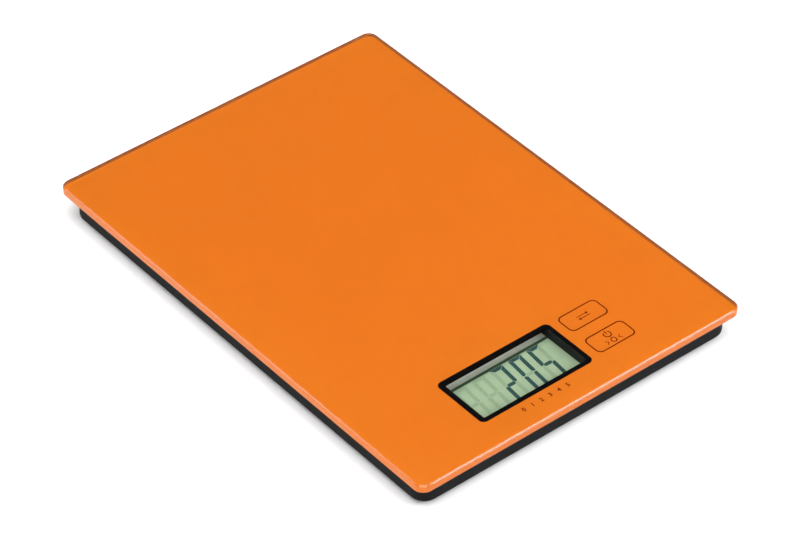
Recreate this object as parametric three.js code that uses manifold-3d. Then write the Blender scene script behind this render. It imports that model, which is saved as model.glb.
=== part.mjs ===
// Slim electronic kitchen scale: a tempered glass platter bonded on a shallow
// plastic base that stands on four load-cell feet.
// Millimetres. +Z up, +X to the right along the display, +Y to the back.
// The origin is under the middle of the platter, at the level of the foot pads.
import * as THREE from 'three';
import { mergeVertices } from 'three/addons/utils/BufferGeometryUtils.js';
import Module from 'manifold-3d';

const wasm = await Module();
wasm.setup();

// ------------------------------------------------------------ dimensions
const GLASS_W = 141;            // platter width, X
const GLASS_L = 200;            // platter length, Y
const GLASS_T = 3.5;
const GLASS_R = 4;              // corner radius
const GLASS_ARRIS = 0.5;        // ground edge, top and bottom
const TOP_Z = 14.8;             // weighing surface
const GLASS_Z = TOP_Z - GLASS_T;

const BASE_X = 67.8;            // base half width
const BASE_Y0 = -96.9;          // base front face
const BASE_Y1 = 95.7;           // base back face
const BASE_R = 5.7;
const BASE_Z0 = 2.5;            // underside of the base
const BASE_Z1 = 10.8;           // top of the base
const WALL = 1.8;
const WEB_Z = 9.3;              // underside of the base's top web
const BOTTOM_FILLET = 1.5;

const COVER_T = 1.2;            // bottom cover thickness
const COVER_GAP = 0.25;
const COVER_TOP = BASE_Z0 + COVER_T;

const TAPE_Z0 = 10.84;          // double-sided foam tape under the glass
const TAPE_Z1 = 11.25;

// display window, seen through the glass
const LCD_X0 = -31.6, LCD_X1 = 12.8, LCD_Y0 = -85.4, LCD_Y1 = -59.9;
const BEZEL_WALL = 1.4;
const BEZEL_TOP = 11.2;
const CELL_X0 = -33.2, CELL_X1 = 14.4, CELL_Y0 = -86.2, CELL_Y1 = -60.2;
const LEDGE_Y = -63.2;          // back edge of the rear glass; the contact ledge is behind it
const PCB_Z0 = 4.2, PCB_Z1 = 5.2;
const PCB_X = 35.5, PCB_Y0 = -91, PCB_Y1 = -53.5;

// touch keys
const KEY_X = 26.95, KEY_UNIT_Y = -67.6, KEY_POWER_Y = -81.35;

// load-cell feet
const FOOT_X = 50.5, FOOT_FRONT_Y = -79.5, FOOT_BACK_Y = 78.5;
const FOOT_HOLE_R = 7.8, FOOT_R = 7.45, FLANGE_R = 8.9;
const PLATE_S = 26, PLATE_Z0 = 6.6, PLATE_Z1 = 7.8;
const BOSS_TOP = PLATE_Z0 - 0.05;

// coin cell bay
const BAT_Y = -22;
const CELL_R = 10, COIN_Z0 = 4.4, COIN_Z1 = 7.6;
const DOOR_R = 12.3, DOOR_HOLE_R = 12.6, LUG_R = 14.4;
const DOOR_TURN = 45;           // degrees from locked to release

const LEAD_Z0 = 5.25, LEAD_Z1 = 5.95;

const SCREWS = [[-58, -58], [58, -58], [-58, 0], [58, 0], [-58, 58], [58, 58], [0, 87], [0, -48]];

// --------------------------------------------------------------- helpers
const P = (x, y) => new THREE.Vector2(x, y);

function arc(cx, cy, r, a0, a1, n) {
  const out = [];
  for (let i = 0; i <= n; i++) {
    const a = THREE.MathUtils.degToRad(a0 + (a1 - a0) * i / n);
    out.push(P(cx + r * Math.cos(a), cy + r * Math.sin(a)));
  }
  return out;
}
function roundRect(x0, y0, x1, y1, r, n = 4) {
  if (r <= 0) return [P(x0, y0), P(x1, y0), P(x1, y1), P(x0, y1)];
  return [
    ...arc(x0 + r, y0 + r, r, 180, 270, n), ...arc(x1 - r, y0 + r, r, 270, 360, n),
    ...arc(x1 - r, y1 - r, r, 0, 90, n), ...arc(x0 + r, y1 - r, r, 90, 180, n),
  ];
}
const circle = (cx, cy, r, n = 24) => arc(cx, cy, r, 0, 360, n).slice(0, n);
function sector(cx, cy, r0, r1, mid, half, n = 4) {
  return [...arc(cx, cy, r1, mid - half, mid + half, n), ...arc(cx, cy, r0, mid + half, mid - half, n)];
}
// outline of a flat lead of width w along the points of a path
function ribbon(points, w) {
  const left = [], right = [];
  points.forEach(([x, y], i) => {
    const p = new THREE.Vector2(x, y);
    const a = i > 0 ? p.clone().sub(P(...points[i - 1])).normalize() : null;
    const b = i < points.length - 1 ? P(...points[i + 1]).sub(p).normalize() : null;
    const t = a && b ? a.clone().add(b).normalize() : (a || b);
    const n = P(-t.y, t.x);
    const s = a && b ? (w / 2) / n.dot(P(-a.y, a.x)) : w / 2;
    left.push(p.clone().addScaledVector(n, s));
    right.push(p.clone().addScaledVector(n, -s));
  });
  return [...right, ...left.reverse()];
}
function plate(outline, z0, z1, holes = []) {
  const shape = new THREE.Shape(outline);
  shape.holes = holes.map((h) => new THREE.Path(h));
  const g = new THREE.ExtrudeGeometry(shape, { depth: z1 - z0, bevelEnabled: false });
  return g.translate(0, 0, z0);
}
// plate whose outer edge is bevelled at both faces; it keeps its outline as given
function bevelled(outline, z0, z1, bevel, segments, holes = []) {
  const shape = new THREE.Shape(outline);
  shape.holes = holes.map((h) => new THREE.Path(h));
  const g = new THREE.ExtrudeGeometry(shape, {
    depth: z1 - z0 - 2 * bevel, bevelEnabled: true, bevelThickness: bevel,
    bevelSize: bevel, bevelOffset: -bevel, bevelSegments: segments,
  });
  return g.translate(0, 0, z0 + bevel);
}
const box = (x0, y0, z0, x1, y1, z1) =>
  new THREE.BoxGeometry(x1 - x0, y1 - y0, z1 - z0).translate((x0 + x1) / 2, (y0 + y1) / 2, (z0 + z1) / 2);
// solid of revolution about Z from a profile of [radius, z] pairs
function turned(profile, n = 28) {
  return new THREE.LatheGeometry(profile.map(([r, z]) => P(r, z)), n).rotateX(Math.PI / 2);
}
const at = (g, x, y, z = 0) => g.clone().translate(x, y, z);

function solid(geometry) {
  const g = geometry.clone();
  for (const name of Object.keys(g.attributes)) if (name !== 'position') g.deleteAttribute(name);
  const m = mergeVertices(g, 1e-4);
  const pos = m.attributes.position.array;
  const src = m.index.array;
  const tri = [];
  let volume = 0;
  for (let i = 0; i < src.length; i += 3) {
    const [a, b, c] = [src[i], src[i + 1], src[i + 2]];
    if (a === b || b === c || a === c) continue;
    tri.push(a, b, c);
    const [ax, ay, az] = pos.slice(3 * a, 3 * a + 3);
    const [bx, by, bz] = pos.slice(3 * b, 3 * b + 3);
    const [cx, cy, cz] = pos.slice(3 * c, 3 * c + 3);
    volume += ax * (by * cz - bz * cy) + ay * (bz * cx - bx * cz) + az * (bx * cy - by * cx);
  }
  if (volume < 0) for (let i = 0; i < tri.length; i += 3) [tri[i], tri[i + 1]] = [tri[i + 1], tri[i]];
  return new wasm.Manifold(new wasm.Mesh({
    numProp: 3, vertProperties: new Float32Array(pos), triVerts: new Uint32Array(tri),
  }));
}
function join(...geometries) {
  return geometries.map(solid).reduce((a, b) => a.add(b));
}
function cut(body, ...geometries) {
  return geometries.map(solid).reduce((a, b) => a.subtract(b), body);
}
function geometryOf(body) {
  const mesh = body.getMesh();
  const n = mesh.numProp;
  const pos = new Float32Array(mesh.vertProperties.length / n * 3);
  for (let i = 0; i < pos.length / 3; i++)
    for (let k = 0; k < 3; k++) pos[3 * i + k] = mesh.vertProperties[n * i + k];
  const g = new THREE.BufferGeometry();
  g.setAttribute('position', new THREE.BufferAttribute(pos, 3));
  g.setIndex(new THREE.BufferAttribute(new Uint32Array(mesh.triVerts), 1));
  g.computeVertexNormals();
  return g;
}

// ------------------------------------------------------------- materials
const mat = (color, roughness, metalness = 0, extra = {}) =>
  new THREE.MeshStandardMaterial({ color, roughness, metalness, ...extra });
const look = {
  glass: () => mat(0xf07c24, 0.06),
  tape: () => mat(0x1b1c1e, 0.9),
  base: () => mat(0x24272a, 0.55),
  cover: () => mat(0x26292c, 0.6),
  bezel: () => mat(0x0c0d0e, 0.4),
  clear: () => mat(0xc9d8c8, 0.1, 0, { transparent: true, opacity: 0.5 }),
  polariser: () => mat(0x96b48c, 0.3),
  reflector: () => mat(0xb6bcb4, 0.35, 0.3),
  zebra: () => mat(0xd9cfc9, 0.7),
  pcb: () => mat(0x1f6b3c, 0.5),
  epoxy: () => mat(0x111111, 0.35),
  nickel: () => mat(0xb9bbbd, 0.3, 1),
  steel: () => mat(0x9a9da0, 0.35, 1),
  silicone: () => mat(0xe9e7e0, 0.6),
  redLead: () => mat(0xb3231c, 0.5),
  blackLead: () => mat(0x1c1c1c, 0.5),
  flatLead: () => mat(0x8c8f92, 0.55),
  foot: () => mat(0x1d1f21, 0.5),
  pad: () => mat(0x33353a, 0.95),
  screw: () => mat(0x8d8f90, 0.35, 1),
};

const scale = new THREE.Group();
function add(name, body, material, parent = scale) {
  const geometry = body instanceof wasm.Manifold ? geometryOf(body) : geometryOf(solid(body));
  const mesh = new THREE.Mesh(geometry, material);
  mesh.name = name;
  parent.add(mesh);
  return mesh;
}

// ---------------------------------------------------------- glass platter
{
  const half = [GLASS_W / 2, GLASS_L / 2];
  add('glass_platter', bevelled(roundRect(-half[0], -half[1], half[0], half[1], GLASS_R, 8),
    GLASS_Z, TOP_Z, GLASS_ARRIS, 2), look.glass());
}

// foam tape: a wide rim, and a field round the display and the touch keys
{
  const inset = 1.2;
  const rim = roundRect(-BASE_X + inset, BASE_Y0 + inset, BASE_X - inset, BASE_Y1 - inset, BASE_R - inset, 6);
  add('platter_adhesive', plate(rim, TAPE_Z0, TAPE_Z1, [
    roundRect(-58, -52, 58, 86, 4, 4),
    roundRect(LCD_X0 - BEZEL_WALL - 0.6, LCD_Y0 - BEZEL_WALL - 0.6, LCD_X1 + BEZEL_WALL + 0.6, LCD_Y1 + BEZEL_WALL + 0.6, 1, 2),
    circle(KEY_X, KEY_UNIT_Y, 5.5, 20),
    circle(KEY_X, KEY_POWER_Y, 5.5, 20),
  ]), look.tape());
}

// ---------------------------------------------------------- upper housing
const corners = [
  { name: 'front_left', x: -FOOT_X, y: FOOT_FRONT_Y, turn: 0 },
  { name: 'front_right', x: FOOT_X, y: FOOT_FRONT_Y, turn: 0 },
  { name: 'back_left', x: -FOOT_X, y: FOOT_BACK_Y, turn: Math.PI },
  { name: 'back_right', x: FOOT_X, y: FOOT_BACK_Y, turn: Math.PI },
];
// routes of the four flat load-cell leads, from the gauge to the circuit board
const LEAD_W = 2.4;
const leadRoutes = {
  front_left: [[-49, -73], [-49, -55.5], [-31.5, -55.5]],
  front_right: [[49, -73], [49, -55.5], [31.5, -55.5]],
  back_left: [[-48, 72], [-48, -40], [-40, -48], [-27, -48], [-27, -56.6]],
  back_right: [[48, 72], [48, -40], [40, -48], [27, -48], [27, -56.6]],
};
{
  const outer = bevelled(roundRect(-BASE_X, BASE_Y0, BASE_X, BASE_Y1, BASE_R, 6), BASE_Z0, BASE_Z1 + 4, BOTTOM_FILLET, 4);
  let body = cut(solid(outer), box(-90, -120, BASE_Z1, 90, 120, 40),
    plate(roundRect(-BASE_X + WALL, BASE_Y0 + WALL, BASE_X - WALL, BASE_Y1 - WALL, BASE_R - WALL, 4), BASE_Z0 - 1, WEB_Z));
  const adds = [];
  for (const [x, y] of SCREWS) adds.push(plate(circle(x, y, 3.2, 14), 5.4, WEB_Z + 0.5));
  const h = PLATE_S / 2;
  for (const c of corners) {
    // fence round each load cell, and the seat that its frame bears on
    adds.push(plate(roundRect(c.x - h - 1.6, c.y - h - 1.6, c.x + h + 1.6, c.y + h + 1.6, 0), 5.4, WEB_Z + 0.5,
      [roundRect(c.x - h - 0.3, c.y - h - 0.3, c.x + h + 0.3, c.y + h + 0.3, 0)]));
    adds.push(plate(roundRect(c.x - h - 0.8, c.y - h - 0.8, c.x + h + 0.8, c.y + h + 0.8, 0), PLATE_Z1 + 0.05, WEB_Z + 0.5,
      [roundRect(c.x - 9.8, c.y - 9.8, c.x + 9.8, c.y + 9.8, 0)]));
  }
  // stiffening ribs
  for (const x of [-24, 24]) adds.push(box(x - 0.6, -44, 6.2, x + 0.6, 94.2, WEB_Z + 0.5));
  for (const y of [20, 52]) adds.push(box(-66.3, y - 0.6, 6.2, 66.3, y + 0.6, WEB_Z + 0.5));
  // posts for the display module
  for (const x of [-25, 5]) adds.push(plate(circle(x, -55.6, 1, 12), 7.2, WEB_Z + 0.5));
  for (const g of adds) body = body.add(solid(g));
  const cuts = [
    box(LCD_X0 - BEZEL_WALL - 0.35, LCD_Y0 - BEZEL_WALL - 0.35, WEB_Z - 3, LCD_X1 + BEZEL_WALL + 0.35, LCD_Y1 + BEZEL_WALL + 0.35, BASE_Z1 + 1),
    plate(circle(KEY_X, KEY_UNIT_Y, 4.5, 24), WEB_Z - 1, BASE_Z1 + 1),
    plate(circle(KEY_X, KEY_POWER_Y, 4.5, 24), WEB_Z - 1, BASE_Z1 + 1),
  ];
  for (const [x, y] of SCREWS) cuts.push(plate(circle(x, y, 1.45, 10), 5, 8.6));
  for (const c of corners) {
    const side = c.turn ? -1 : 1;
    const x = leadRoutes[c.name][0][0];
    cuts.push(box(x - 2, c.y + side * (h + 1) - 1.2, 4, x + 2, c.y + side * (h + 1) + 1.2, 6.4));
  }
  add('upper_housing', cut(body, ...cuts), look.base());
}

// ----------------------------------------------------------- bottom cover
{
  const g = WALL + COVER_GAP;
  const holes = corners.map((c) => circle(c.x, c.y, FOOT_HOLE_R, 28));
  let body = solid(plate(roundRect(-BASE_X + g, BASE_Y0 + g, BASE_X - g, BASE_Y1 - g, BASE_R - g, 4), BASE_Z0, COVER_TOP, holes));
  for (const [x, y] of SCREWS) body = body.add(solid(plate(circle(x, y, 4.2, 16), BASE_Z0, 5.3)));
  const cuts = [plate(circle(0, BAT_Y, DOOR_HOLE_R, 40), 0, 6)];
  for (const mid of [90, 210, 330]) cuts.push(plate(sector(0, BAT_Y, 12, 14.8, mid - DOOR_TURN, 17), 0, 6));
  for (const [x, y] of SCREWS) {
    cuts.push(plate(circle(x, y, 2.6, 14), 0, 4.3));
    cuts.push(plate(circle(x, y, 1.45, 10), 0, 6));
  }
  add('bottom_cover', cut(body, ...cuts), look.cover());
}

// ------------------------------------------------------------ cover screws
{
  // pan head with a cross recess, shank and point
  const blank = turned([[0, 2.75], [1.7, 2.75], [2.2, 3.2], [2.2, 4.25], [1.15, 4.25], [1.15, 7.6], [0, 8.3]], 12);
  const recess = (a) => box(-1.2, -0.22, 2, 1.2, 0.22, 3.6).rotateZ(a);
  const screw = cut(solid(blank), recess(0), recess(Math.PI / 2));
  SCREWS.forEach(([x, y], i) => {
    add(`cover_screw_${i + 1}`, screw, look.screw()).position.set(x, y, 0);
  });
}

// ---------------------------------------------------------- load-cell feet
{
  const h = PLATE_S / 2;
  // stamped steel plate: a square frame with a tongue rooted on its +Y side
  const slot = [P(-9.6, -9.6), P(9.6, -9.6), P(9.6, 7), P(5, 7), P(5, -7), P(-5, -7), P(-5, 7), P(-9.6, 7)];
  const platePart = plate(roundRect(-h, -h, h, h, 2, 3), PLATE_Z0, PLATE_Z1, [slot]);
  const gauge = bevelled(roundRect(-3.8, 3.5, 3.8, 8.3, 1.2, 3), 6.0, 6.55, 0.2, 1);
  // foot: flange trapped above the bottom cover, body through it, boss under the tongue
  const foot = turned([
    [0, 1.55], [6.8, 1.55], [6.8, 0.9], [7.0, 0.9], [FOOT_R, 1.35], [FOOT_R, 3.75], [FLANGE_R, 3.75],
    [FLANGE_R, 4.6], [3.4, 4.6], [3, 5.0], [3, BOSS_TOP], [0, BOSS_TOP],
  ], 26);
  const pad = turned([[0, 0], [6.1, 0], [6.5, 0.4], [6.5, 1.5], [0, 1.5]], 26);
  for (const c of corners) {
    const corner = new THREE.Group();
    corner.position.set(c.x, c.y, 0);
    corner.rotation.z = c.turn;
    scale.add(corner);
    add(`load_cell_plate_${c.name}`, platePart, look.steel(), corner);
    add(`strain_gauge_${c.name}`, gauge, look.silicone(), corner);
    add(`foot_${c.name}`, foot, look.foot(), corner);
    add(`foot_pad_${c.name}`, pad, look.pad(), corner);
    add(`load_cell_lead_${c.name}`, plate(ribbon(leadRoutes[c.name], LEAD_W), LEAD_Z0, LEAD_Z1), look.flatLead());
  }
}

// ---------------------------------------------------------- display module
{
  const tubeIn = [LCD_X0, LCD_Y0, LCD_X1, LCD_Y1];
  const tubeOut = [LCD_X0 - BEZEL_WALL, LCD_Y0 - BEZEL_WALL, LCD_X1 + BEZEL_WALL, LCD_Y1 + BEZEL_WALL];
  const cell = [CELL_X0 - 0.3, CELL_Y0 - 0.3, CELL_X1 + 0.3, CELL_Y1 + 0.3];
  const frame = [cell[0] - 1.8, cell[1] - 1.8, cell[2] + 1.8, cell[3] + 1.8];
  let bezel = join(
    plate(roundRect(...frame, 1, 2), 5.25, WEB_Z - 0.05, [roundRect(...cell, 0)]),
    plate(roundRect(...frame, 1, 2), 7.6, WEB_Z - 0.05, [roundRect(...tubeIn, 0.6, 2)]),
    plate(roundRect(...tubeOut, 0.8, 2), 7.6, BEZEL_TOP, [roundRect(...tubeIn, 0.6, 2)]),
    // ears for the housing posts
    plate(circle(-25, -55.6, 2.6, 16), 7.9, WEB_Z - 0.05), box(-27.6, -58.4, 7.9, -22.4, -55.6, WEB_Z - 0.05),
    plate(circle(5, -55.6, 2.6, 16), 7.9, WEB_Z - 0.05), box(2.4, -58.4, 7.9, 7.6, -55.6, WEB_Z - 0.05),
    // front hooks under the board's edge
    box(-25, -92.6, 5.3, -19, -87.9, 6.6), box(-25, -92.6, 3.82, -19, -91.35, 6.6), box(-25, -92.6, 3.82, -19, -90.2, 4.12),
    box(1, -92.6, 5.3, 7, -87.9, 6.6), box(1, -92.6, 3.82, 7, -91.35, 6.6), box(1, -92.6, 3.82, 7, -90.2, 4.12),
    // back legs through the board
    box(-20, -59.4, 3.82, -16, -58.3, 6), box(-20, -59.4, 3.82, -16, -57.5, 4.12),
    box(0, -59.4, 3.82, 4, -58.3, 6), box(0, -59.4, 3.82, 4, -57.5, 4.12),
  );
  bezel = cut(bezel, plate(circle(-25, -55.6, 1.35, 14), 7, 9.5), plate(circle(5, -55.6, 1.35, 14), 7, 9.5));
  add('lcd_bezel', bezel, look.bezel());

  add('lcd_front_polariser', box(CELL_X0 + 0.5, CELL_Y0 + 0.5, 7.39, CELL_X1 - 0.5, LEDGE_Y - 1, 7.54), look.polariser());
  add('lcd_front_glass', box(CELL_X0, CELL_Y0, 6.66, CELL_X1, CELL_Y1, 7.36), look.clear());
  add('lcd_rear_glass', box(CELL_X0, CELL_Y0, 5.93, CELL_X1, LEDGE_Y, 6.63), look.clear());
  add('lcd_reflector', box(CELL_X0 + 0.5, CELL_Y0 + 0.5, 5.77, CELL_X1 - 0.5, LEDGE_Y - 0.5, 5.9), look.reflector());
  add('zebra_strip', box(-32, -62.7, 5.23, 13.2, -60.9, 6.63), look.zebra());

  add('main_pcb', cut(solid(plate(roundRect(-PCB_X, PCB_Y0, PCB_X, PCB_Y1, 1.5, 3), PCB_Z0, PCB_Z1)),
    box(-20.35, -59.75, 4, -15.65, -57.2, 6), box(-0.35, -59.75, 4, 4.35, -57.2, 6)), look.pcb());
  add('controller_chip', turned([[0, 0], [2.9, 0], [2.7, 0.6], [1.8, 1.05], [0, 1.25]], 16), look.epoxy())
    .position.set(31.6, -74.5, PCB_Z1 + 0.03);
}

// touch springs: coils soldered to the board that press on the glass
{
  class Helix extends THREE.Curve {
    constructor(r, z0, z1, turns) { super(); Object.assign(this, { r, z0, z1, turns }); }
    getPoint(t, target = new THREE.Vector3()) {
      const a = 2 * Math.PI * this.turns * t;
      return target.set(this.r * Math.cos(a), this.r * Math.sin(a), this.z0 + (this.z1 - this.z0) * t);
    }
  }
  const wire = 0.3;
  const turns = 4;
  const path = new Helix(2.6, PCB_Z1 + 0.05 + wire, GLASS_Z - 0.08 - wire, turns);
  const coil = new THREE.ExtrudeGeometry(new THREE.Shape(circle(0, 0, wire, 5)), { steps: turns * 11, extrudePath: path, bevelEnabled: false });
  add('touch_spring_unit', coil, look.nickel()).position.set(KEY_X, KEY_UNIT_Y, 0);
  add('touch_spring_power', coil, look.nickel()).position.set(KEY_X, KEY_POWER_Y, 0);
}

// --------------------------------------------------------------- battery
{
  let holder = join(
    plate(circle(0, BAT_Y, 12.2, 32), 4.95, WEB_Z - 0.05, [circle(0, BAT_Y, 10.4, 32)]),
    plate(circle(0, BAT_Y, 12.2, 32), 8.0, WEB_Z - 0.05),
  );
  holder = cut(holder, box(-8.2, BAT_Y - 14, 4, 8.2, BAT_Y - 8, 7.98));
  add('battery_holder', holder, look.base());

  add('coin_cell', turned([[0, COIN_Z0], [9.6, COIN_Z0], [CELL_R, COIN_Z0 + 0.4], [CELL_R, COIN_Z1 - 0.35], [9.1, COIN_Z1 - 0.35],
    [8.9, COIN_Z1 - 0.15], [8.7, COIN_Z1], [0, COIN_Z1]], 36), look.nickel()).position.set(0, BAT_Y, 0);

  const s = BAT_Y - CELL_R;
  add('battery_contact_positive', join(
    box(-4, s - 0.35, 5.2, 4, s - 0.05, 7.4),
    box(-7.4, s - 0.35, 6.0, 4, s - 0.05, 6.3),
    box(-7.4, s - 4.4, 6.0, -5.4, s - 0.05, 6.3),
  ), look.nickel());
  add('battery_contact_negative', join(
    box(-3.5, BAT_Y - 9, 7.65, 3.5, BAT_Y + 7, 7.95),
    box(-3.5, BAT_Y - 11, 7.65, 7.4, BAT_Y - 8, 7.95),
    box(5.4, s - 4.4, 7.65, 7.4, BAT_Y - 8, 7.95),
    box(5.4, s - 4.4, 6.0, 7.4, s - 4.1, 7.95),
  ), look.nickel());
  add('battery_lead_positive', plate(ribbon([[-6.5, s - 3], [-6.5, -56.4]], 1.2), LEAD_Z0, LEAD_Z1), look.redLead());
  add('battery_lead_negative', plate(ribbon([[6.5, s - 3], [6.5, -56.4]], 1.2), LEAD_Z0, LEAD_Z1), look.blackLead());

  // round door: turns against the clock, seen from below, to free its three lugs
  const parts = [
    plate(circle(0, 0, DOOR_R, 40), BASE_Z0, COVER_TOP),
    plate(circle(0, 0, 11.6, 32), COVER_TOP - 0.2, 4.65, [circle(0, 0, 10.45, 32)]),
    plate(circle(0, 0, 11, 32), COVER_TOP - 0.2, 4.1),
  ];
  for (const mid of [90, 210, 330]) parts.push(plate(sector(0, 0, 11.3, LUG_R, mid, 12, 3), 4.05, 4.65));
  const door = cut(join(...parts), plate(roundRect(-7.5, -1, 7.5, 1, 0.9, 3), 0, BASE_Z0 + 0.9));
  add('battery_cover', door, look.cover()).position.set(0, BAT_Y, 0);
}

export default scale;
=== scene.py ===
import math

import bpy
from mathutils import Matrix, Vector


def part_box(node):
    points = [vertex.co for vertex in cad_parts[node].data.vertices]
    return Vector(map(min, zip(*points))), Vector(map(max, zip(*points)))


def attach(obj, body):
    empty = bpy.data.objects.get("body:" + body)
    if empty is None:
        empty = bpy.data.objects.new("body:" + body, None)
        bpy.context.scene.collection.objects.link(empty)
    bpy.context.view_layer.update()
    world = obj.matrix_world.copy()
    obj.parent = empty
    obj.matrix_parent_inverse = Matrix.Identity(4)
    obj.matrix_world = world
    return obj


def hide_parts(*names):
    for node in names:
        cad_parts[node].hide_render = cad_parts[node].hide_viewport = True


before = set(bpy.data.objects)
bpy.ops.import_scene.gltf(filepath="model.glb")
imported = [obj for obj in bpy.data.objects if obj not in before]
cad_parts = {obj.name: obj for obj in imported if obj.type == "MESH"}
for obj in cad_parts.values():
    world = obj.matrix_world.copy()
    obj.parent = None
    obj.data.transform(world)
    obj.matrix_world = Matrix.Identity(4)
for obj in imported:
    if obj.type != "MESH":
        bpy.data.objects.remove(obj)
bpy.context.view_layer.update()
scene = bpy.context.scene
MM = 0.001

# ---------------------------------------------------------------- camera
AZ, EL, DIST = math.radians(-39.38), math.radians(40.63), 1.338
TOP_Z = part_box("glass_platter")[1].z
back = Vector((math.sin(AZ) * math.cos(EL), -math.cos(AZ) * math.cos(EL), math.sin(EL)))
aim = Vector((-6.27 * MM, -10.79 * MM, TOP_Z))
cam_data = bpy.data.cameras.new("camera")
cam_data.lens, cam_data.sensor_width = 176.04, 36.0
cam_data.clip_start, cam_data.clip_end = 0.05, 20
camera = bpy.data.objects.new("camera", cam_data)
scene.collection.objects.link(camera)
camera.location = aim + back * DIST
camera.rotation_mode = "QUATERNION"
camera.rotation_quaternion = (-back).to_track_quat("-Z", "Y")
scene.camera = camera
scene.view_settings.view_transform = "Standard"
scene.view_settings.look = "None"

# ----------------------------------------------------------------- world
# pale at the horizon and dimmer above it; a broad soft light stands overhead, to the front left
OVERHEAD = 5.1
world = bpy.data.worlds.new("studio")
scene.world = world
world.use_nodes = True
wn, wl = world.node_tree.nodes, world.node_tree.links
wn.clear()
wo = wn.new("ShaderNodeOutputWorld")
wb = wn.new("ShaderNodeBackground")
wc = wn.new("ShaderNodeTexCoord")
ws = wn.new("ShaderNodeSeparateXYZ")
wr = wn.new("ShaderNodeValToRGB")
wl.new(wc.outputs["Generated"], ws.inputs[0])
wl.new(ws.outputs["Z"], wr.inputs[0])
ramp = wr.color_ramp
ramp.interpolation = "EASE"
ramp.elements[0].position, ramp.elements[0].color = 0.0, (1.0, 1.0, 1.0, 1)
ramp.elements[1].position, ramp.elements[1].color = 1.0, (0.50, 0.50, 0.50, 1)
for pos, v in ((0.10, 1.0), (0.22, 0.50), (0.60, 0.42)):
    e = ramp.elements.new(pos)
    e.color = (v, v, v * 1.01, 1)
# a dark studio flag stands behind the object, away to the back right
flag = wn.new("ShaderNodeVectorMath")
flag.operation = "DOT_PRODUCT"
flag.inputs[1].default_value = Vector((0.545, 0.70, 0.46)).normalized()
shade = wn.new("ShaderNodeValToRGB")
shade.color_ramp.interpolation = "EASE"
shade.color_ramp.elements[0].position, shade.color_ramp.elements[0].color = 0.76, (1, 1, 1, 1)
shade.color_ramp.elements[1].position, shade.color_ramp.elements[1].color = 0.90, (0.05, 0.05, 0.05, 1)
wm = wn.new("ShaderNodeMix")
wm.data_type, wm.blend_type = "RGBA", "MULTIPLY"
wm.inputs["Factor"].default_value = 1.0
wl.new(wc.outputs["Generated"], flag.inputs[0])
wl.new(flag.outputs["Value"], shade.inputs[0])
wl.new(wr.outputs[0], wm.inputs[6])
wl.new(shade.outputs[0], wm.inputs[7])
dome = wn.new("ShaderNodeVectorMath")
dome.operation = "DOT_PRODUCT"
dome.inputs[1].default_value = Vector((-0.23, -0.30, 0.92)).normalized()
glow = wn.new("ShaderNodeValToRGB")
glow.color_ramp.interpolation = "EASE"
glow.color_ramp.elements[0].position, glow.color_ramp.elements[0].color = 0.80, (0, 0, 0, 1)
glow.color_ramp.elements[1].position, glow.color_ramp.elements[1].color = 0.91, (OVERHEAD, OVERHEAD, OVERHEAD, 1)
add = wn.new("ShaderNodeMix")
add.data_type, add.blend_type = "RGBA", "ADD"
add.inputs["Factor"].default_value = 1.0
wl.new(wc.outputs["Generated"], dome.inputs[0])
wl.new(dome.outputs["Value"], glow.inputs[0])
wl.new(wm.outputs[2], add.inputs[6])
wl.new(glow.outputs[0], add.inputs[7])
# a soft strip of light low at the back left, along the line that the near left edge of the platter mirrors
STRIP = 4.2
strip_dir = Vector((-0.6627, 0.6051, 0.4413)).normalized()
strip_axis = Vector((0.5019, 0.7977, -0.3342))
strip_axis = (strip_axis - strip_dir * strip_axis.dot(strip_dir)).normalized()
parts = []
for axis, flat, edge in ((strip_dir.cross(strip_axis), 1.2, 4.8), (strip_axis, 4.2, 9.0)):
    d = wn.new("ShaderNodeVectorMath")
    d.operation = "DOT_PRODUCT"
    d.inputs[1].default_value = axis
    away = wn.new("ShaderNodeMath")
    away.operation = "ABSOLUTE"
    fall = wn.new("ShaderNodeMapRange")
    fall.interpolation_type = "SMOOTHERSTEP"
    fall.inputs["From Min"].default_value = math.sin(math.radians(flat))
    fall.inputs["From Max"].default_value = math.sin(math.radians(edge))
    fall.inputs["To Min"].default_value, fall.inputs["To Max"].default_value = 1.0, 0.0
    wl.new(wc.outputs["Generated"], d.inputs[0])
    wl.new(d.outputs["Value"], away.inputs[0])
    wl.new(away.outputs[0], fall.inputs["Value"])
    parts.append(fall.outputs[0])
side = wn.new("ShaderNodeVectorMath")
side.operation = "DOT_PRODUCT"
side.inputs[1].default_value = strip_dir
ahead = wn.new("ShaderNodeMath")
ahead.operation = "GREATER_THAN"
ahead.inputs[1].default_value = 0.0
wl.new(wc.outputs["Generated"], side.inputs[0])
wl.new(side.outputs["Value"], ahead.inputs[0])
level = parts[0]
for other in (parts[1], ahead.outputs[0]):
    m = wn.new("ShaderNodeMath")
    m.operation = "MULTIPLY"
    wl.new(level, m.inputs[0])
    wl.new(other, m.inputs[1])
    level = m.outputs[0]
beam = wn.new("ShaderNodeMath")
beam.operation = "MULTIPLY"
beam.inputs[1].default_value = STRIP
wl.new(level, beam.inputs[0])
lit = wn.new("ShaderNodeMix")
lit.data_type, lit.blend_type = "RGBA", "ADD"
lit.inputs["Factor"].default_value = 1.0
wl.new(add.outputs[2], lit.inputs[6])
wl.new(beam.outputs[0], lit.inputs[7])
wl.new(lit.outputs[2], wb.inputs["Color"])
wl.new(wb.outputs[0], wo.inputs[0])
wb.inputs["Strength"].default_value = 1.0


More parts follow.
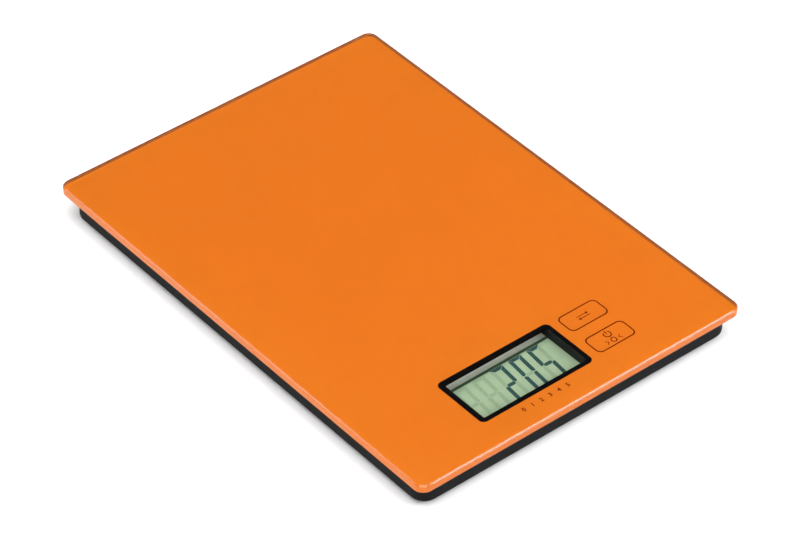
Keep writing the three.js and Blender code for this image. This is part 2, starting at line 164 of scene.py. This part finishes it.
def area_light(name, location, target, size, power, color=(1, 1, 1), size_y=None):
    data = bpy.data.lights.new(name, "AREA")
    data.shape = "RECTANGLE"
    data.size, data.size_y = size, size_y or size
    data.energy = power
    data.color = color
    o = bpy.data.objects.new(name, data)
    scene.collection.objects.link(o)
    o.location = location
    o.rotation_mode = "QUATERNION"
    o.rotation_quaternion = (Vector(target) - Vector(location)).to_track_quat("-Z", "Y")
    return o


def lay_along(light, axis):
    """Turn a light about its own beam until its long side lies along the axis."""
    beam = -Vector(light.location).normalized()
    along = Vector(axis)
    along = (along - beam * along.dot(beam)).normalized()
    light.rotation_quaternion = Matrix((along, beam.cross(along) * -1, -beam)).transposed().to_quaternion()


# it follows the line that the near right edge of the platter mirrors
key = area_light("key_softbox", (0.768, -1.129, 0.836), (0, 0, 0), 0.60, 8.6, size_y=0.42)
lay_along(key, (0.864, 0.394, -0.314))
# light that has passed through glass doesn't meet it, because the display turned white with it from low at the back left
key.visible_transmission = False

# ------------------------------------------------------------- materials


class Mat:
    """A node material being put together: a Principled shader, and textures in millimetres of the object's own space."""

    def __init__(self, name, color=(0.5, 0.5, 0.5), rough=0.5, metal=0.0, **sockets):
        self.mat = bpy.data.materials.new(name)
        self.mat.use_nodes = True
        self.n, self.l = self.mat.node_tree.nodes, self.mat.node_tree.links
        self.n.clear()
        self.out = self.n.new("ShaderNodeOutputMaterial")
        self.p = self.n.new("ShaderNodeBsdfPrincipled")
        self.l.new(self.p.outputs[0], self.out.inputs[0])
        self.p.inputs["Base Color"].default_value = (*color, 1)
        self.p.inputs["Roughness"].default_value = rough
        self.p.inputs["Metallic"].default_value = metal
        for k, v in sockets.items():
            self.p.inputs[k.replace("_", " ")].default_value = v
        self.coord = None
        self.mat.diffuse_color = (*color, 1)

    def mm(self, scale=(1, 1, 1)):
        if self.coord is None:
            self.coord = self.n.new("ShaderNodeTexCoord")
        m = self.n.new("ShaderNodeMapping")
        m.inputs["Scale"].default_value = [1000 * s for s in scale]
        self.l.new(self.coord.outputs["Object"], m.inputs[0])
        return m.outputs[0]

    def noise(self, size, detail=2.0, rough=0.5, stretch=(1, 1, 1)):
        """Noise whose blotches are about size millimetres across."""
        t = self.n.new("ShaderNodeTexNoise")
        self.l.new(self.mm(stretch), t.inputs["Vector"])
        t.inputs["Scale"].default_value = 1 / size
        t.inputs["Detail"].default_value = detail
        t.inputs["Roughness"].default_value = rough
        return t.outputs["Fac"]

    def ramp(self, source, stops):
        r = self.n.new("ShaderNodeValToRGB")
        r.color_ramp.elements[0].position, r.color_ramp.elements[0].color = stops[0][0], (*stops[0][1], 1)
        r.color_ramp.elements[1].position, r.color_ramp.elements[1].color = stops[-1][0], (*stops[-1][1], 1)
        for pos, c in stops[1:-1]:
            r.color_ramp.elements.new(pos).color = (*c, 1)
        self.l.new(source, r.inputs[0])
        return r.outputs[0]

    def spread(self, source, low, high):
        m = self.n.new("ShaderNodeMapRange")
        m.inputs["From Min"].default_value, m.inputs["From Max"].default_value = 0.3, 0.7
        m.inputs["To Min"].default_value, m.inputs["To Max"].default_value = low, high
        self.l.new(source, m.inputs["Value"])
        return m.outputs[0]

    def to(self, socket, source):
        self.l.new(source, self.p.inputs[socket])
        return self

    def bump(self, source, height_mm, strength=1.0):
        b = self.n.new("ShaderNodeBump")
        b.inputs["Distance"].default_value = height_mm * MM
        b.inputs["Strength"].default_value = strength
        self.l.new(source, b.inputs["Height"])
        old = self.p.inputs["Normal"].links
        if old:
            self.l.new(old[0].from_socket, b.inputs["Normal"])
        self.l.new(b.outputs[0], self.p.inputs["Normal"])
        return self


def moulded(name, color, rough=0.5, grain=0.35, depth=0.012, shade=0.12, **sockets):
    """Moulded plastic: spark-eroded grain, faint flow mottling and uneven gloss."""
    m = Mat(name, color, rough, **sockets)
    dark = tuple(c * (1 - shade) for c in color)
    light = tuple(c * (1 + shade) for c in color)
    m.to("Base Color", m.ramp(m.noise(9, 3), [(0.35, dark), (0.65, light)]))
    fine = m.noise(grain, 2, 0.6)
    m.to("Roughness", m.spread(fine, rough - 0.05, rough + 0.07))
    m.bump(fine, depth)
    return m.mat


def metal(name, color, rough=0.3, brushed=(1, 1, 1), scale=0.4, depth=0.004, shade=0.08):
    m = Mat(name, color, rough, 1.0)
    dark = tuple(c * (1 - shade) for c in color)
    grain = m.noise(scale, 3, 0.6, brushed)
    m.to("Base Color", m.ramp(m.noise(4, 3), [(0.35, dark), (0.65, color)]))
    m.to("Roughness", m.spread(grain, rough - 0.07, rough + 0.1))
    m.bump(grain, depth)
    return m.mat


def clear_glass(name, tint, rough):
    """Glass that bends what is seen through it and lets the lamps' light straight in."""
    m = Mat(name, tint, rough, IOR=1.5, Transmission_Weight=1.0)
    clear = m.n.new("ShaderNodeBsdfTransparent")
    clear.inputs[0].default_value = (*tint, 1)
    mix = m.n.new("ShaderNodeMixShader")
    path = m.n.new("ShaderNodeLightPath")
    m.l.new(path.outputs["Is Shadow Ray"], mix.inputs[0])
    m.l.new(m.p.outputs[0], mix.inputs[1])
    m.l.new(clear.outputs[0], mix.inputs[2])
    m.l.new(mix.outputs[0], m.out.inputs[0])
    return m


# ---------------------------------------------------------------- meshes
def arc(cx, cy, r, a0, a1, n):
    return [(cx + r * math.cos(math.radians(a0 + (a1 - a0) * i / n)),
             cy + r * math.sin(math.radians(a0 + (a1 - a0) * i / n))) for i in range(n + 1)]


def round_rect(x0, y0, x1, y1, r, n=12):
    """Outline against the clock, in millimetres. Every outline made with one n has the same number of points."""
    r = max(r, 0.01)
    return (arc(x0 + r, y0 + r, r, 180, 270, n) + arc(x1 - r, y0 + r, r, 270, 360, n)
            + arc(x1 - r, y1 - r, r, 0, 90, n) + arc(x0 + r, y1 - r, r, 90, 180, n))


def inset(box, r, d, n=12):
    x0, y0, x1, y1 = box
    return round_rect(x0 + d, y0 + d, x1 - d, y1 - d, max(r - d, 0.05), n)


def make(name, verts, faces, material, smooth_deg=35, slots=None):
    """A mesh object from points in millimetres of the row frame."""
    mesh = bpy.data.meshes.new(name)
    mesh.from_pydata([tuple(c * MM for c in v) for v in verts], [], faces)
    for m in material if isinstance(material, (list, tuple)) else [material]:
        mesh.materials.append(m)
    if slots:
        mesh.polygons.foreach_set("material_index", slots)
    mesh.validate()
    if smooth_deg:
        mesh.shade_smooth()
        mesh.set_sharp_from_angle(angle=math.radians(smooth_deg))
    o = bpy.data.objects.new(name, mesh)
    scene.collection.objects.link(o)
    return o


def loft(name, rings, material, smooth_deg=35, slot_of=None):
    """A closed solid through rings of (outline, z) with equal counts; the two ends are capped."""
    n = len(rings[0][0])
    verts, faces, slots = [], [], []
    for outline, z in rings:
        verts += [(x, y, z) for x, y in outline]
    for k in range(len(rings) - 1):
        for i in range(n):
            j = (i + 1) % n
            faces.append((k * n + i, k * n + j, (k + 1) * n + j, (k + 1) * n + i))
            slots.append(slot_of(k) if slot_of else 0)
    faces.append(tuple(reversed(range(n))))
    faces.append(tuple((len(rings) - 1) * n + i for i in range(n)))
    slots += [slot_of(-1) if slot_of else 0] * 2
    return make(name, verts, faces, material, smooth_deg, slots)


def frame_sheet(name, outer, inner, z0, z1, material, smooth_deg=0):
    """A flat ring between two outlines with equal counts."""
    n = len(outer)
    verts = [(x, y, z) for ring, z in ((outer, z0), (inner, z0), (outer, z1), (inner, z1)) for x, y in ring]
    faces = []
    for i in range(n):
        j = (i + 1) % n
        faces += [(i, n + i, n + j, j), (2 * n + i, 2 * n + j, 3 * n + j, 3 * n + i),
                  (i, j, 2 * n + j, 2 * n + i), (n + j, n + i, 3 * n + i, 3 * n + j)]
    return make(name, verts, faces, material, smooth_deg)


def solids(name, outlines, z0, z1, material):
    """Flat plates of one thickness, one for each outline, in a single piece."""
    verts, faces = [], []
    for outline in outlines:
        b, n = len(verts), len(outline)
        verts += [(x, y, z0) for x, y in outline] + [(x, y, z1) for x, y in outline]
        faces += [tuple(b + i for i in reversed(range(n))), tuple(b + n + i for i in range(n))]
        faces += [(b + i, b + (i + 1) % n, b + n + (i + 1) % n, b + n + i) for i in range(n)]
    return make(name, verts, faces, material, 0)


def lathe(name, profile, cx, cy, material, n=96, smooth_deg=35):
    """A solid of revolution about a vertical axis, from (radius, z) pairs in millimetres; both ends are on the axis."""
    verts, faces, rings = [], [], []
    for r, z in profile:
        if r < 1e-6:
            rings.append([len(verts)])
            verts.append((cx, cy, z))
        else:
            rings.append(list(range(len(verts), len(verts) + n)))
            verts += [(cx + r * math.cos(2 * math.pi * i / n), cy + r * math.sin(2 * math.pi * i / n), z) for i in range(n)]
    for a, b in zip(rings, rings[1:]):
        for i in range(n):
            j = (i + 1) % n
            if len(a) == 1 and len(b) == 1:
                continue
            if len(a) == 1:
                faces.append((a[0], b[j], b[i]))
            elif len(b) == 1:
                faces.append((a[i], a[j], b[0]))
            else:
                faces.append((a[i], a[j], b[j], b[i]))
    return make(name, verts, faces, material, smooth_deg)


def text_piece(name, words, x, y, height, z0, z1, material, align="CENTER", spacing=1.0):
    curve = bpy.data.curves.new(name + "_curve", "FONT")
    curve.body = words
    curve.size = height / 0.72 * MM
    curve.space_character = spacing
    curve.align_x, curve.align_y = align, "CENTER"
    curve.extrude = (z1 - z0) / 2 * MM
    curve.resolution_u = 4
    curve.offset = 0.07 * MM
    tmp = bpy.data.objects.new(name + "_tmp", curve)
    scene.collection.objects.link(tmp)
    bpy.context.view_layer.update()
    mesh = bpy.data.meshes.new_from_object(tmp.evaluated_get(bpy.context.evaluated_depsgraph_get()))
    bpy.data.objects.remove(tmp)
    mesh.name = name
    for v in mesh.vertices:
        v.co += Vector((x, y, (z0 + z1) / 2)) * MM
    mesh.materials.clear()
    mesh.materials.append(material)
    o = bpy.data.objects.new(name, mesh)
    scene.collection.objects.link(o)
    return o


def on(piece, body="housing", replaces=()):
    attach(piece, body)
    if replaces:
        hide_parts(*replaces)
    return piece


# --------------------------------------------------------- glass platter
g0, g1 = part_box("glass_platter")
G = [g0.x / MM, g0.y / MM, g1.x / MM, g1.y / MM]
GZ0, GZ1 = g0.z / MM, g1.z / MM
GR = 4.0

polished = clear_glass("platter_polished", (0.985, 0.995, 0.985), 0.0)
ground = clear_glass("platter_ground_edge", (0.80, 0.77, 0.56), 0.12)
ground.p.inputs["IOR"].default_value = 1.42
ground.bump(ground.noise(0.25, 2), 0.0025)
wall = clear_glass("platter_ground_side", (0.80, 0.77, 0.56), 0.12)
wall.p.inputs["IOR"].default_value = 1.31
wall.bump(wall.noise(0.25, 2), 0.0025)
# The bottom arris of the platter is opaque dark brown: painted shade where the ground edge of the clear glass looks
# dark.
painted_arris_shade = Mat("platter_bottom_arris_painted_shade", (0.238, 0.079, 0.026), 0.7, Specular_IOR_Level=0.0)
painted_arris_shade.to("Base Color", painted_arris_shade.ramp(painted_arris_shade.noise(4), [(0.3, (0.220, 0.072, 0.024)), (0.7, (0.255, 0.086, 0.028))]))
ARR = 0.56


def platter_rings():
    e, k = 0.03, 0.042
    low = [(inset(G, GR, ARR), GZ0), (inset(G, GR, 0.04), GZ0 + ARR - 0.04), (inset(G, GR, 0.0), GZ0 + ARR + 0.04),
           (inset(G, GR, 0.0), GZ0 + ARR + 0.09)]
    high = [(inset(G, GR, 0.0), GZ1 - ARR - e - 0.05), (inset(G, GR, 0.0), GZ1 - ARR - e), (inset(G, GR, 0.009), GZ1 - ARR - 0.009), (inset(G, GR, e), GZ1 - ARR + e),
            (inset(G, GR, k), GZ1 - ARR + k), (inset(G, GR, ARR - k), GZ1 - k),
            (inset(G, GR, ARR - e), GZ1 - e), (inset(G, GR, ARR - 0.009), GZ1 - 0.009), (inset(G, GR, ARR + e), GZ1)]
    return low + high


rings = platter_rings()
glass = loft("platter_glass", rings, [polished.mat, ground.mat, painted_arris_shade.mat, wall.mat], 30,
             lambda k: 0 if k < 0 else 2 if k == 0 else 3 if 2 <= k <= 4 else 1)
on(glass, replaces=["glass_platter"])

# print on the underside, in optical contact with the glass; the dark rim along the edge is painted shade
PZ = GZ0 + 0.02
W = (-33.98, -87.22, 14.82, -62.82)      # window border, outside
WI = (-32.08, -85.27, 13.0, -65.55)     # and inside

paint = Mat("platter_paint", (0.57, 0.148, 0.0125), 0.6, Specular_IOR_Level=0.0)
paint.to("Base Color", paint.ramp(paint.noise(30, 3), [(0.3, (0.562, 0.146, 0.0123)), (0.7, (0.578, 0.150, 0.0127))]))
# A dark brown band round the edge of the underside, RIM wide: painted shade where the edge of the glass looks dark.
RIM = 0.8
painted_rim_shade = Mat("platter_rim_painted_shade_ink", (0.238, 0.079, 0.026), 0.6, Specular_IOR_Level=0.0)
painted_rim_shade.to("Base Color", painted_rim_shade.ramp(painted_rim_shade.noise(4), [(0.3, (0.220, 0.072, 0.024)), (0.7, (0.255, 0.086, 0.028))]))
rim = frame_sheet("platter_rim_painted_shade_band", inset(G, GR, ARR + 0.02), inset(G, GR, RIM), PZ, PZ + 0.02, painted_rim_shade.mat)
on(rim)
sheet = frame_sheet("platter_paint", inset(G, GR, RIM + 0.003), round_rect(W[0] + 0.4, W[1] + 0.4, W[2] - 0.4, W[3] - 0.4, 1.8), PZ, PZ + 0.02, paint.mat)
on(sheet)

border_ink = Mat("window_border_ink", (0.003, 0.003, 0.0032), 0.5, Specular_IOR_Level=0.0)
border_ink.to("Roughness", border_ink.spread(border_ink.noise(2), 0.45, 0.6))
border = frame_sheet("window_border", round_rect(*W, 2.2), round_rect(*WI, 0.7), PZ + 0.03, PZ + 0.05, border_ink.mat)
on(border)

key_ink = Mat("key_ink", (0.12, 0.015, 0.002), 0.6, Specular_IOR_Level=0.0)
key_ink.to("Base Color", key_ink.ramp(key_ink.noise(1.5), [(0.3, (0.11, 0.013, 0.002)), (0.7, (0.135, 0.018, 0.0025))]))
for name, y0, y1 in (("key_outline_unit", -72.22, -63.42), ("key_outline_power", -85.97, -77.17)):
    x0, x1, w = 18.27, 35.27, 0.5
    o = frame_sheet(name, round_rect(x0, y0, x1, y1, 2.2), round_rect(x0 + w, y0 + w, x1 - w, y1 - w, 1.8), PZ + 0.03, PZ + 0.05, key_ink.mat)
    on(o)

def stroke(points, w):
    """Outline of a line of width w along the points."""
    left, right = [], []
    for i, p in enumerate(points):
        a = points[max(i - 1, 0)]
        b = points[min(i + 1, len(points) - 1)]
        dx, dy = b[0] - a[0], b[1] - a[1]
        d = math.hypot(dx, dy)
        nx, ny = -dy / d * w / 2, dx / d * w / 2
        left.append((p[0] + nx, p[1] + ny))
        right.append((p[0] - nx, p[1] - ny))
    return right + left[::-1]



def arrow(x0, x1, y, w, head):
    """An arrow along X from x0 to x1."""
    d = 1 if x1 > x0 else -1
    tip = [(x1, y), (x1 - d * head, y + head * 0.75), (x1 - d * head, y - head * 0.75)]
    return [stroke([(x0, y), (x1 - d * head * 0.9, y)], w), tip if d < 0 else tip[::-1]]


def ccw(outline):
    area = sum(p[0] * q[1] - q[0] * p[1] for p, q in zip(outline, outline[1:] + outline[:1]))
    return outline if area > 0 else outline[::-1]


KX = 26.77
marks = arrow(KX - 2.5, KX + 2.5, -67.3, 0.34, 0.95) + arrow(KX + 2.5, KX - 2.5, -68.6, 0.34, 0.95)
on(solids("key_mark_unit", [ccw(m) for m in marks], PZ + 0.03, PZ + 0.05, key_ink.mat))
cx, cy, pr = KX, -80.1, 1.35
zero = [(cx + 0.95 * math.cos(t), cy - 3.35 + 1.05 * math.sin(t)) for t in [2 * math.pi * i / 28 for i in range(29)]]
marks = [stroke(arc(cx, cy, pr, 125, 415, 28), 0.42), stroke([(cx, cy + 0.3), (cx, cy + 1.9)], 0.42), stroke(zero, 0.4),
         stroke([(cx - 3.2, cy - 2.45), (cx - 2.2, cy - 3.35), (cx - 3.2, cy - 4.25)], 0.36),
         stroke([(cx + 3.2, cy - 2.45), (cx + 2.2, cy - 3.35), (cx + 3.2, cy - 4.25)], 0.36)]
on(solids("key_mark_power", [ccw(m) for m in marks], PZ + 0.03, PZ + 0.05, key_ink.mat))
on(text_piece("range_numbers", "0   1   2   3   4   5", -9.5, -90.6, 1.8, PZ + 0.03, PZ + 0.05, key_ink.mat, spacing=1.1))

# --------------------------------------------------------------- display
face_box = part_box("lcd_front_polariser")
F = [face_box[0].x / MM, face_box[0].y / MM, face_box[1].x / MM, face_box[1].y / MM]
FZ0, FZ1 = face_box[0].z / MM, face_box[1].z / MM
LINE_Y = -65.75

film = Mat("lcd_film", (0.24890, 0.32750, 0.21615), 0.55, Specular_IOR_Level=0.0)
film.to("Base Color", film.ramp(film.noise(3, 3), [(0.3, (0.23580, 0.31440, 0.20698)), (0.7, (0.26200, 0.34060, 0.22532))]))
face = loft("lcd_face", [(round_rect(F[0], F[1], F[2], LINE_Y, 0.3, 4), FZ0), (round_rect(F[0], F[1], F[2], LINE_Y, 0.3, 4), FZ1 - 0.03),
                         (round_rect(F[0] + 0.03, F[1] + 0.03, F[2] - 0.03, LINE_Y - 0.03, 0.3, 4), FZ1)], film.mat)
on(face, replaces=["lcd_front_polariser"])

seal = Mat("lcd_seal", (0.03, 0.05, 0.028), 0.4, Specular_IOR_Level=0.0)
seal.to("Roughness", seal.spread(seal.noise(0.6), 0.3, 0.5))
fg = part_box("lcd_front_glass")
line = loft("lcd_seal_line", [(round_rect(F[0], LINE_Y + 0.03, F[2], LINE_Y + 1.25, 0.2, 3), fg[1].z / MM + 0.01),
                              (round_rect(F[0], LINE_Y + 0.03, F[2], LINE_Y + 1.25, 0.2, 3), FZ1 - 0.05)], seal.mat)
on(line)

ink_on = Mat("lcd_segment_on", (0.022, 0.058, 0.055), 0.5, Specular_IOR_Level=0.0)
ink_on.to("Base Color", ink_on.ramp(ink_on.noise(1.2), [(0.3, (0.01988, 0.04828, 0.04828)), (0.7, (0.02698, 0.06248, 0.06106))]))
ink_off = Mat("lcd_segment_off", (0.18995, 0.26200, 0.17030), 0.5, Specular_IOR_Level=0.0)
ink_off.to("Base Color", ink_off.ramp(ink_off.noise(1.2), [(0.3, (0.18340, 0.25676, 0.16506)), (0.7, (0.20698, 0.28034, 0.18340))]))

DIGIT_W, DIGIT_TOP, DIGIT_H, STROKE, GAP = 5.5, -65.9, 18.5, 1.5, 0.14
SLANT = math.tan(math.radians(5))
LIT = {"0": "ABCDEF", "2": "ABGED", "5": "AFGCD", "8": "ABCDEFG"}


def digit(cx, lit):
    """Outlines of the named segments of one digit: straight bars with mitred ends."""
    w, h, t, g = DIGIT_W / 2, DIGIT_H / 2, STROKE, GAP / math.sqrt(2)
    c = DIGIT_TOP - h
    out = {
        "A": [(-w + g, h), (w - g, h), (w - t - g, h - t), (-w + t + g, h - t)],
        "D": [(-w + t + g, -h + t), (w - t - g, -h + t), (w - g, -h), (-w + g, -h)],
        "F": [(-w, h - g), (-w + t, h - t - g), (-w + t, t / 2 + g), (-w + t / 2, g), (-w, t / 2 + g - t * 0.35)],
        "B": [(w, h - g), (w, t / 2 + g - t * 0.35), (w - t / 2, g), (w - t, t / 2 + g), (w - t, h - t - g)],
        "E": [(-w, -h + g), (-w, -t / 2 - g + t * 0.35), (-w + t / 2, -g), (-w + t, -t / 2 - g), (-w + t, -h + t + g)],
        "C": [(w, -h + g), (w - t, -h + t + g), (w - t, -t / 2 - g), (w - t / 2, -g), (w, -t / 2 - g + t * 0.35)],
        "G": [(-w + t / 2 + g * 1.4, 0), (-w + t + g, t / 2), (w - t - g, t / 2), (w - t / 2 - g * 1.4, 0), (w - t - g, -t / 2), (-w + t + g, -t / 2)],
    }
    made = []
    for s in lit:
        p = [(cx + x + y * SLANT, c + y) for x, y in out[s]]
        area = sum(p[i][0] * p[(i + 1) % len(p)][1] - p[(i + 1) % len(p)][0] * p[i][1] for i in range(len(p)))
        made.append(p if area > 0 else p[::-1])
    return made


centres = (-27.3, -19.3, -11.3, -3.3, 4.7)
shown = ("", "", "2", "0", "5")
lit, unlit = [], []
for x, d in zip(centres, shown):
    segs = LIT.get(d, "")
    lit += digit(x, segs)
    unlit += digit(x, [s for s in "ABCDEFG" if s not in segs])
on(solids("lcd_segments_on", lit, FZ1 + 0.004, FZ1 + 0.03, ink_on.mat))
on(solids("lcd_segments_off", unlit, FZ1 + 0.002, FZ1 + 0.012, ink_off.mat))

# ------------------------------------------------------------------ feet
foot_mat = moulded("foot_plastic", (0.016, 0.0175, 0.019), 0.45, 0.4, 0.006)
pad_mat = moulded("pad_rubber", (0.030, 0.032, 0.036), 0.85, 0.5, 0.02)
for c in ("front_left", "front_right", "back_left", "back_right"):
    lo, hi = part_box(f"foot_{c}")
    x, y = (lo.x + hi.x) / 2 / MM, (lo.y + hi.y) / 2 / MM
    top = hi.z / MM
    o = lathe(f"foot_cap_{c}", [(0, 1.55), (6.8, 1.55), (6.8, 0.9), (6.95, 0.9), (7.15, 0.94), (7.34, 1.06), (7.43, 1.22), (7.45, 1.4),
                                (7.45, 3.76), (8.87, 3.76), (8.87, 4.58), (3.4, 4.6), (3.0, 5.0), (3.0, top), (0, top)], x, y, foot_mat)
    on(o, replaces=[f"foot_{c}"])
    # ribbed rubber pad
    prof = [(0, 0.0)]
    for r in (1.2, 2.4, 3.6, 4.8):
        prof += [(r - 0.18, 0.0), (r - 0.1, 0.18), (r + 0.1, 0.18), (r + 0.18, 0.0)]
    prof += [(6.0, 0.0), (6.2, 0.05), (6.38, 0.2), (6.45, 0.42), (6.45, 1.5), (0, 1.5)]
    on(lathe(f"foot_rubber_{c}", prof, x, y, pad_mat), replaces=[f"foot_pad_{c}"])

# ------------------------------------------------- finishes of CAD nodes
base = moulded("base_plastic", (0.0056, 0.0062, 0.0068), 0.55, 0.3, 0.010, Specular_IOR_Level=0.06)
cover = moulded("cover_plastic", (0.014, 0.0152, 0.017), 0.55, 0.35, 0.014, Specular_IOR_Level=0.25)
bezel = moulded("bezel_plastic", (0.0060, 0.0064, 0.0068), 0.55, 0.3, 0.004, Specular_IOR_Level=0.12)
tape = moulded("foam_tape", (0.012, 0.012, 0.013), 0.9, 0.25, 0.03)
lcd_glass = Mat("lcd_ledge_glass", (0.34, 0.37, 0.30), 0.15, Coat_Weight=0.5, Coat_Roughness=0.05)
# The ledge glass is painted from dark at its front to bright at its back edge along Y: painted shade and a painted
# highlight, with faint streaks of noise over it.
ledge_painted_light_and_shade = lcd_glass.n.new("ShaderNodeMapRange")
ledge_painted_light_and_shade.inputs["From Min"].default_value, ledge_painted_light_and_shade.inputs["From Max"].default_value = -64.6, -61.9
ledge_y = lcd_glass.n.new("ShaderNodeSeparateXYZ")
lcd_glass.l.new(lcd_glass.mm(), ledge_y.inputs[0])
lcd_glass.l.new(ledge_y.outputs["Y"], ledge_painted_light_and_shade.inputs["Value"])
ledge_streaks_and_painted_shade = lcd_glass.n.new("ShaderNodeMath")
ledge_streaks_and_painted_shade.operation = "MULTIPLY_ADD"
ledge_streaks_and_painted_shade.inputs[1].default_value = 0.25
lcd_glass.l.new(lcd_glass.noise(0.9, 2, 0.5, (1, 0.05, 1)), ledge_streaks_and_painted_shade.inputs[0])
lcd_glass.l.new(ledge_painted_light_and_shade.outputs[0], ledge_streaks_and_painted_shade.inputs[2])
lcd_glass.to("Base Color", lcd_glass.ramp(ledge_streaks_and_painted_shade.outputs[0], [(0.1, (0.25, 0.29, 0.23)), (0.7, (0.49, 0.53, 0.43)), (1.0, (0.76, 0.79, 0.70))]))
reflector = metal("lcd_reflector", (0.55, 0.58, 0.55), 0.4)
zebra = moulded("zebra_rubber", (0.62, 0.58, 0.54), 0.6, 0.3, 0.01)
board = Mat("board", (0.012, 0.14, 0.045), 0.35)
board.to("Base Color", board.ramp(board.noise(1.4, 2, 0.5, (1, 0.25, 1)), [(0.42, (0.010, 0.10, 0.034)), (0.5, (0.013, 0.15, 0.05)), (0.58, (0.016, 0.19, 0.065))]))
board.bump(board.noise(1.4, 2, 0.5, (1, 0.25, 1)), 0.03)
epoxy = moulded("chip_epoxy", (0.008, 0.008, 0.008), 0.25, 0.8, 0.01)
nickel = metal("contact_nickel", (0.62, 0.60, 0.56), 0.22)
spring = metal("spring_nickel", (0.66, 0.65, 0.62), 0.2)
can = metal("cell_can", (0.60, 0.60, 0.60), 0.28, (1, 0.06, 1), 0.3)
steel = metal("load_cell_steel", (0.42, 0.42, 0.43), 0.38, (0.08, 1, 1), 0.3, 0.006)
screw = metal("screw_zinc", (0.46, 0.47, 0.48), 0.32)
silicone = moulded("gauge_silicone", (0.78, 0.77, 0.72), 0.45, 1.0, 0.03)
flat_lead = Mat("flat_lead", (0.25, 0.26, 0.27), 0.5)
flat_lead.to("Roughness", flat_lead.spread(flat_lead.noise(0.5), 0.4, 0.6))
red_lead = moulded("red_lead", (0.45, 0.016, 0.010), 0.4, 0.6, 0.01)
black_lead = moulded("black_lead", (0.010, 0.010, 0.010), 0.4, 0.6, 0.01)

finish = {
    "platter_adhesive": tape, "upper_housing": base, "bottom_cover": cover, "lcd_bezel": bezel,
    "lcd_front_glass": lcd_glass.mat, "lcd_rear_glass": lcd_glass.mat, "lcd_reflector": reflector, "zebra_strip": zebra,
    "main_pcb": board.mat, "controller_chip": epoxy, "touch_spring_unit": spring, "touch_spring_power": spring,
    "battery_holder": base, "battery_contact_positive": nickel, "battery_contact_negative": nickel,
    "battery_lead_positive": red_lead, "battery_lead_negative": black_lead, "coin_cell": can, "battery_cover": cover,
}
for name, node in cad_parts.items():
    m = finish.get(name)
    if m is None:
        if name.startswith("cover_screw"):
            m = screw
        elif name.startswith("load_cell_plate"):
            m = steel
        elif name.startswith("strain_gauge"):
            m = silicone
        elif name.startswith("load_cell_lead"):
            m = flat_lead.mat
    if m is None:
        continue
    node.data.materials.clear()
    node.data.materials.append(m)
    node.data.polygons.foreach_set("material_index", [0] * len(node.data.polygons))

# ----------------------------------------------------------------- floor
floor_mat = Mat("floor", (0.90, 0.90, 0.90), 0.75, Specular_IOR_Level=0.1)
floor_mat.to("Roughness", floor_mat.spread(floor_mat.noise(40), 0.7, 0.8))
S = 6000
floor = make("floor", [(-S, -S, 0), (S, -S, 0), (S, S, 0), (-S, S, 0)], [(0, 1, 2, 3)], floor_mat.mat, 0)
floor.location.z = -0.00002
